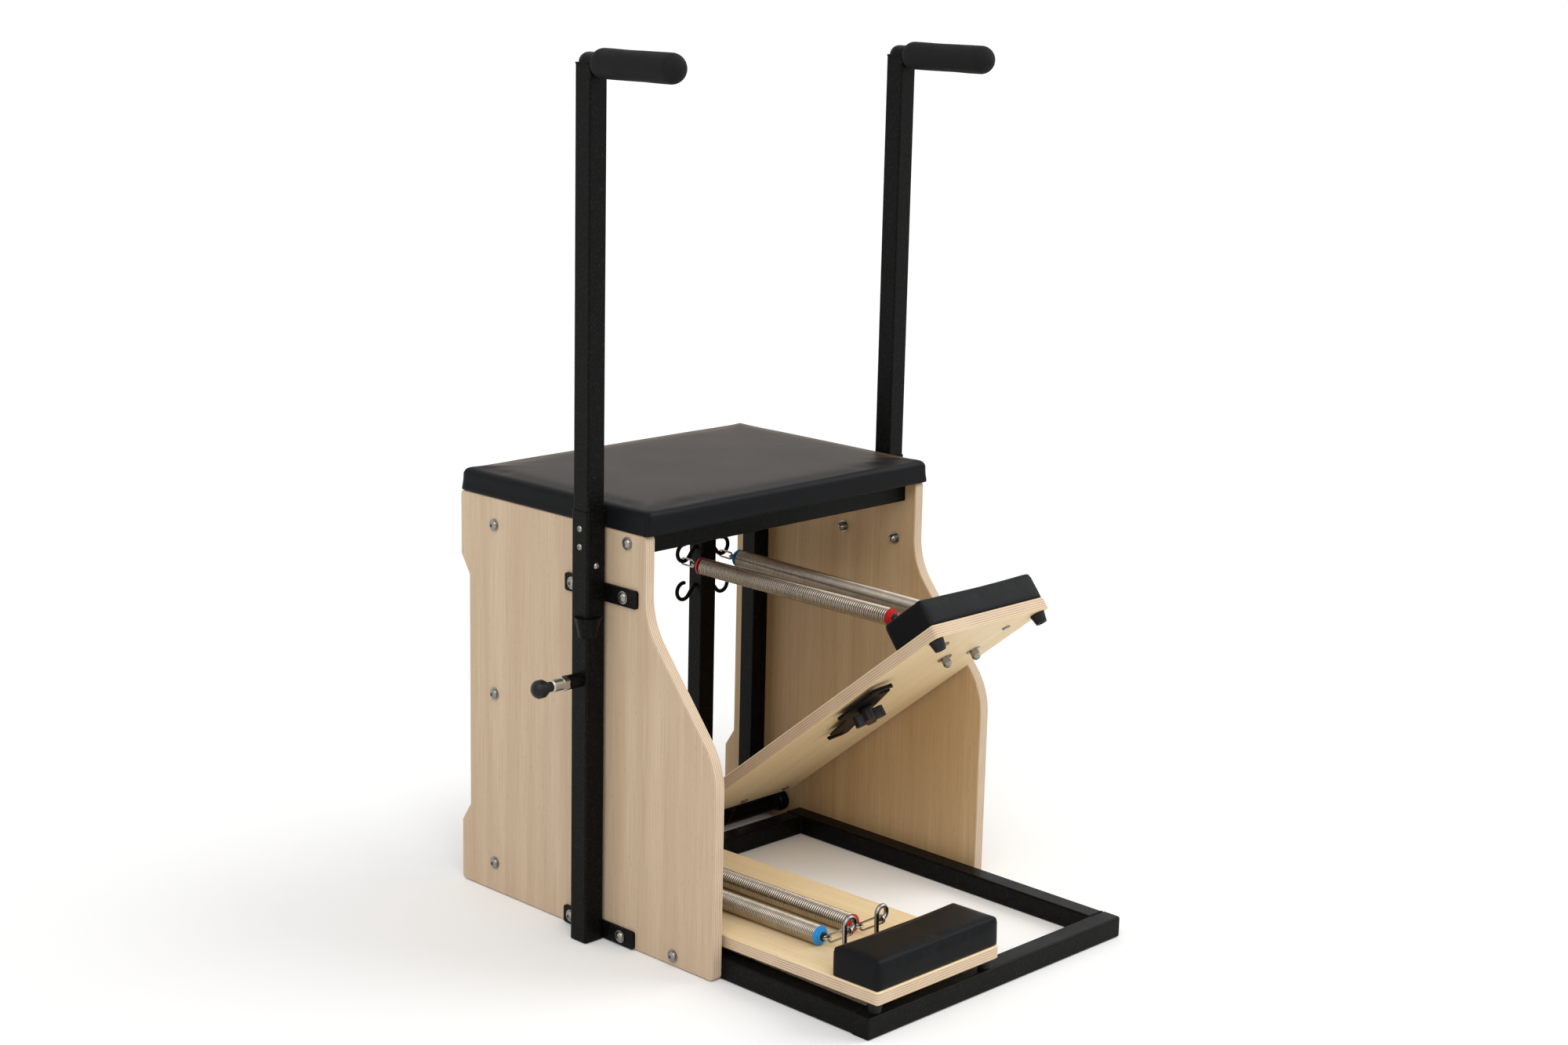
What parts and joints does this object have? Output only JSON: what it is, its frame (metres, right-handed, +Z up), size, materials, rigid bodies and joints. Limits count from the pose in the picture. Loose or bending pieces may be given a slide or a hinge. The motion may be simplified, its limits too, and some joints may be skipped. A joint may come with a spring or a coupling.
{
  "type": "split-pedal pilates chair",
  "caption": "Pilates chair with plywood sides on a steel tube frame, a padded seat, separately sprung split pedals with foot pads, a pedal lock plate and height-adjustable push handles.",
  "frame": {"origin": "on the floor, midway across the chair and midway between the plywood's rear edge and the lowered pedal's front edge", "axes": "+Z up; +X to the side of the raised pedal; the pedals reach forward along -Y"},
  "size_m": [0.7926, 0.8044, 1.223],
  "materials": {
    "black_powder_coat": "fine hammertone black powder coat",
    "side_plywood": "pale beige lacquered plywood, bare edge plies",
    "pedal_plywood": "clear lacquered birch plywood",
    "black_vinyl": "satin grained black vinyl over foam, seamed corners",
    "bright_steel": "nickel plated or stainless steel",
    "grip_foam": "matt black closed-cell foam",
    "black_rubber": "matt moulded rubber",
    "black_plastic": "moulded black plastic",
    "nylon": "plain nylon",
    "red_plastic": "red moulded end caps; on the stored springs one cap pair is blue",
    "blue_plastic": "blue moulded end caps"
  },
  "bodies": {
    "frame": {"side_panel_left": "side_plywood", "side_panel_right": "side_plywood", "base_front_bar": "black_powder_coat", "base_rail_left": "black_powder_coat", "base_rail_right": "black_powder_coat", "base_cross_bar": "black_powder_coat", "rear_post_left": "black_powder_coat", "rear_post_right": "black_powder_coat", "rear_bottom_bar": "black_powder_coat", "rear_top_bar": "black_powder_coat", "spring_posts": "black_powder_coat", "seat_front_bar": "black_powder_coat", "seat_board": "side_plywood", "seat_pad": "black_vinyl", "panel_bolts": "bright_steel", "receiver_left": "black_powder_coat", "receiver_right": "black_powder_coat", "glide_screws": "bright_steel", "pin_barrels": "bright_steel", "pin_springs": "bright_steel", "axle_lugs": "black_powder_coat", "pivot_axle": "bright_steel", "hinge_bushes": "nylon", "post_hooks": "black_powder_coat"},
    "handle_left": {"handle_post_left": "black_powder_coat", "grip_left": "grip_foam"},
    "pin_left": {"pin_plunger_left": "bright_steel", "pin_knob_left": "black_plastic"},
    "handle_right": {"handle_post_right": "black_powder_coat", "grip_right": "grip_foam"},
    "pin_right": {"pin_plunger_right": "bright_steel", "pin_knob_right": "black_plastic"},
    "pedal_left": {"pedal_board_left": "pedal_plywood", "foot_pad_left": "black_vinyl", "hinge_bracket_left": "black_powder_coat", "bumpers_left": "black_rubber", "pedal_fittings_left": "bright_steel", "stored_spring_coils": "bright_steel", "stored_spring_caps": "red_plastic", "stored_spring_links": "bright_steel"},
    "pedal_right": {"pedal_board_right": "pedal_plywood", "foot_pad_right": "black_vinyl", "hinge_bracket_right": "black_powder_coat", "bumpers_right": "black_rubber", "pedal_fittings_right": "bright_steel"},
    "lock_plate": {"lock_plate": "black_powder_coat"},
    "lock_knob": {"lock_knob": "black_plastic"},
    "inner_spring": {"inner_spring_coil": "bright_steel", "inner_spring_top_cap": "red_plastic", "inner_spring_top_link": "bright_steel"},
    "inner_spring_plug": {"inner_spring_foot_plug": "black_plastic"},
    "inner_spring_foot": {"inner_spring_foot_cap": "red_plastic", "inner_spring_foot_link": "bright_steel"},
    "outer_spring": {"outer_spring_coil": "bright_steel", "outer_spring_top_cap": "blue_plastic", "outer_spring_top_link": "bright_steel"},
    "outer_spring_plug": {"outer_spring_foot_plug": "black_plastic"},
    "outer_spring_foot": {"outer_spring_foot_cap": "blue_plastic", "outer_spring_foot_link": "bright_steel"}
  },
  "joints": [
    {"name": "left_handle_slide", "type": "slide", "parent": "frame", "child": "handle_left", "axis": [0, 0, 1], "range_m": [-0.18, 0.06]},
    {"name": "left_pin_pull", "type": "slide", "parent": "frame", "child": "pin_left", "axis": [-1, 0, 0], "range_m": [0, 0.009], "stiffness_N_per_m": 600, "springref_m": -0.01},
    {"name": "right_handle_slide", "type": "slide", "parent": "frame", "child": "handle_right", "axis": [0, 0, 1], "range_m": [-0.18, 0.06]},
    {"name": "right_pin_pull", "type": "slide", "parent": "frame", "child": "pin_right", "axis": [1, 0, 0], "range_m": [0, 0.009], "stiffness_N_per_m": 600, "springref_m": -0.01},
    {"name": "left_pedal_swing", "type": "hinge", "parent": "frame", "child": "pedal_left", "pos_m": [0, 0.27218, 0.032], "axis": [-1, 0, 0], "range_deg": [0, 37.54]},
    {"name": "right_pedal_swing", "type": "hinge", "parent": "frame", "child": "pedal_right", "pos_m": [0, 0.27218, 0.032], "axis": [1, 0, 0], "range_deg": [0, 37.54], "stiffness_Nm_per_rad": 100, "springref_deg": -11.46},
    {"name": "lock_plate_turn", "type": "hinge", "parent": "pedal_right", "child": "lock_plate", "pos_m": [0.062, -0.07662, 0.30915], "axis": [0, 0.6221, 0.7829], "range_deg": [0, 109.3]},
    {"name": "lock_knob_turn", "type": "hinge", "parent": "pedal_right", "child": "lock_knob", "pos_m": [0.062, -0.07662, 0.30915], "axis": [0, 0.6221, 0.7829], "continuous": true},
    {"name": "inner_spring_swing", "type": "hinge", "parent": "frame", "child": "inner_spring", "pos_m": [0.091, 0.32718, 0.437], "axis": [1, 0, 0], "range_deg": [0, 27.5]},
    {"name": "inner_spring_stretch", "type": "slide", "parent": "inner_spring", "child": "inner_spring_plug", "axis": [0, -0.9996, -0.0265], "range_m": [0, 0.2435], "deforming": ["inner_spring_coil"]},
    {"name": "inner_foot_link_swing", "type": "hinge", "parent": "pedal_right", "child": "inner_spring_foot", "pos_m": [0.1215, -0.13352, 0.4248], "axis": [1, 0, 0], "range_deg": [-10.2, 0]},
    {"name": "outer_spring_swing", "type": "hinge", "parent": "frame", "child": "outer_spring", "pos_m": [0.171, 0.32718, 0.437], "axis": [1, 0, 0], "range_deg": [0, 27.5]},
    {"name": "outer_spring_stretch", "type": "slide", "parent": "outer_spring", "child": "outer_spring_plug", "axis": [0, -0.9996, -0.0265], "range_m": [0, 0.2435], "deforming": ["outer_spring_coil"]},
    {"name": "outer_foot_link_swing", "type": "hinge", "parent": "pedal_right", "child": "outer_spring_foot", "pos_m": [0.1835, -0.13352, 0.4248], "axis": [1, 0, 0], "range_deg": [-10.2, 0]}
  ],
  "couplings": [
    {"joint": "inner_spring_swing", "follows": "right_pedal_swing", "ratio": 0.73071},
    {"joint": "inner_spring_stretch", "follows": "right_pedal_swing", "m_per_rad": 0.37107},
    {"joint": "inner_foot_link_swing", "follows": "right_pedal_swing", "ratio": -0.26929},
    {"joint": "outer_spring_swing", "follows": "right_pedal_swing", "ratio": 0.73071},
    {"joint": "outer_spring_stretch", "follows": "right_pedal_swing", "m_per_rad": 0.37107},
    {"joint": "outer_foot_link_swing", "follows": "right_pedal_swing", "ratio": -0.26929}
  ]
}
